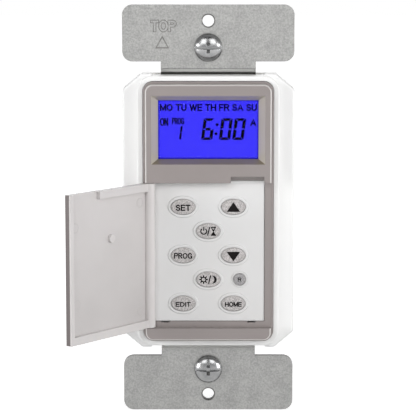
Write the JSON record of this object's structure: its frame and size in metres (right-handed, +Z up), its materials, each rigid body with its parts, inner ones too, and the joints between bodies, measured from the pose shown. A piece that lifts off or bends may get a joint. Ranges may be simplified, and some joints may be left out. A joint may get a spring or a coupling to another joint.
{
  "type": "timer light switch",
  "caption": "In-wall digital timer switch with lit display, keypad behind a side-hinged door and a steel mounting strap.",
  "frame": {"origin": "midway between the two box screws, in the plane of the strap ears' backs, where the wall is", "axes": "+Z up along the strap, -Y out of the wall towards the user, +X to the user's right"},
  "size_m": [0.0565, 0.0665, 0.105],
  "materials": {
    "galvanised_steel": "mottled zinc coat, satin",
    "white_housing": "satin moulded",
    "rear_housing": "matte moulded",
    "bezel": "satin taupe grey",
    "door": "satin taupe grey, glossy inside",
    "keypad_panel": "satin pale grey",
    "key": "matte grey",
    "reset_key": "matte darker grey",
    "display_window": "clear",
    "lcd_glass": "lit blue",
    "backlight": "translucent white",
    "contact_strip": "pink and black elastomer",
    "holder": "black moulded",
    "circuit_board": "green solder mask",
    "chip": "black epoxy",
    "crystal_can": "bright",
    "battery": "bright steel can",
    "connector": "black",
    "relay_case": "blue",
    "film_capacitor": "yellow",
    "reservoir_capacitor": "dark sleeve",
    "varistor": "blue coat",
    "fuse": "glass tube",
    "diode": "black",
    "switch_case": "black",
    "plunger": "white",
    "screw_steel": "bright plated",
    "retainer": "pale fibre"
  },
  "bodies": {
    "switch_body": {"mounting_strap": "galvanised_steel", "front_housing": "white_housing", "rear_housing": "rear_housing", "bezel": "bezel", "keypad_panel": "keypad_panel", "display_window": "display_window", "lcd_glass": "lcd_glass", "lcd_backlight": "backlight", "lcd_contact_strips": "contact_strip", "lcd_holder": "holder", "control_board": "circuit_board", "microcontroller": "chip", "clock_crystal": "crystal_can", "backup_battery": "battery", "link_socket": "connector", "link_header": "connector", "power_board": "circuit_board", "relay": "relay_case", "film_capacitor": "film_capacitor", "reservoir_capacitor": "reservoir_capacitor", "surge_varistor": "varistor", "fuse": "fuse", "rectifier_diodes": "diode", "corner_screws": "screw_steel", "screw_retainers": "retainer", "tact_switches": "switch_case"},
    "door": {"door": "door"},
    "upper_screw": {"upper_mounting_screw": "screw_steel"},
    "lower_screw": {"lower_mounting_screw": "screw_steel"},
    "set_key": {"set_key": "key", "set_key_plunger": "plunger"},
    "up_key": {"up_key": "key", "up_key_plunger": "plunger"},
    "power_key": {"power_key": "key", "power_key_plunger": "plunger"},
    "program_key": {"program_key": "key", "program_key_plunger": "plunger"},
    "down_key": {"down_key": "key", "down_key_plunger": "plunger"},
    "sun_key": {"sun_key": "key", "sun_key_plunger": "plunger"},
    "edit_key": {"edit_key": "key", "edit_key_plunger": "plunger"},
    "home_key": {"home_key": "key", "home_key_plunger": "plunger"},
    "reset_key": {"reset_key": "reset_key", "reset_key_plunger": "plunger"}
  },
  "joints": [
    {"name": "door_hinge", "type": "hinge", "parent": "switch_body", "child": "door", "pos_m": [-0.01485, -0.007, -0.0109], "axis": [0, 0, -1], "range_deg": [-128, 37]},
    {"name": "upper_screw_turn", "type": "hinge", "parent": "switch_body", "child": "upper_screw", "pos_m": [0, 0, 0.04167], "axis": [0, 1, 0], "continuous": true},
    {"name": "lower_screw_turn", "type": "hinge", "parent": "switch_body", "child": "lower_screw", "pos_m": [0, 0, -0.04167], "axis": [0, 1, 0], "continuous": true},
    {"name": "set_key_press", "type": "slide", "parent": "switch_body", "child": "set_key", "axis": [0, 1, 0], "range_m": [0, 0.0004], "stiffness_N_per_m": 1000},
    {"name": "up_key_press", "type": "slide", "parent": "switch_body", "child": "up_key", "axis": [0, 1, 0], "range_m": [0, 0.0004], "stiffness_N_per_m": 1000},
    {"name": "power_key_press", "type": "slide", "parent": "switch_body", "child": "power_key", "axis": [0, 1, 0], "range_m": [0, 0.0004], "stiffness_N_per_m": 1000},
    {"name": "program_key_press", "type": "slide", "parent": "switch_body", "child": "program_key", "axis": [0, 1, 0], "range_m": [0, 0.0004], "stiffness_N_per_m": 1000},
    {"name": "down_key_press", "type": "slide", "parent": "switch_body", "child": "down_key", "axis": [0, 1, 0], "range_m": [0, 0.0004], "stiffness_N_per_m": 1000},
    {"name": "sun_key_press", "type": "slide", "parent": "switch_body", "child": "sun_key", "axis": [0, 1, 0], "range_m": [0, 0.0004], "stiffness_N_per_m": 1000},
    {"name": "edit_key_press", "type": "slide", "parent": "switch_body", "child": "edit_key", "axis": [0, 1, 0], "range_m": [0, 0.0004], "stiffness_N_per_m": 1000},
    {"name": "home_key_press", "type": "slide", "parent": "switch_body", "child": "home_key", "axis": [0, 1, 0], "range_m": [0, 0.0004], "stiffness_N_per_m": 1000},
    {"name": "reset_key_press", "type": "slide", "parent": "switch_body", "child": "reset_key", "axis": [0, 1, 0], "range_m": [0, 0.0004], "stiffness_N_per_m": 1000}
  ]
}
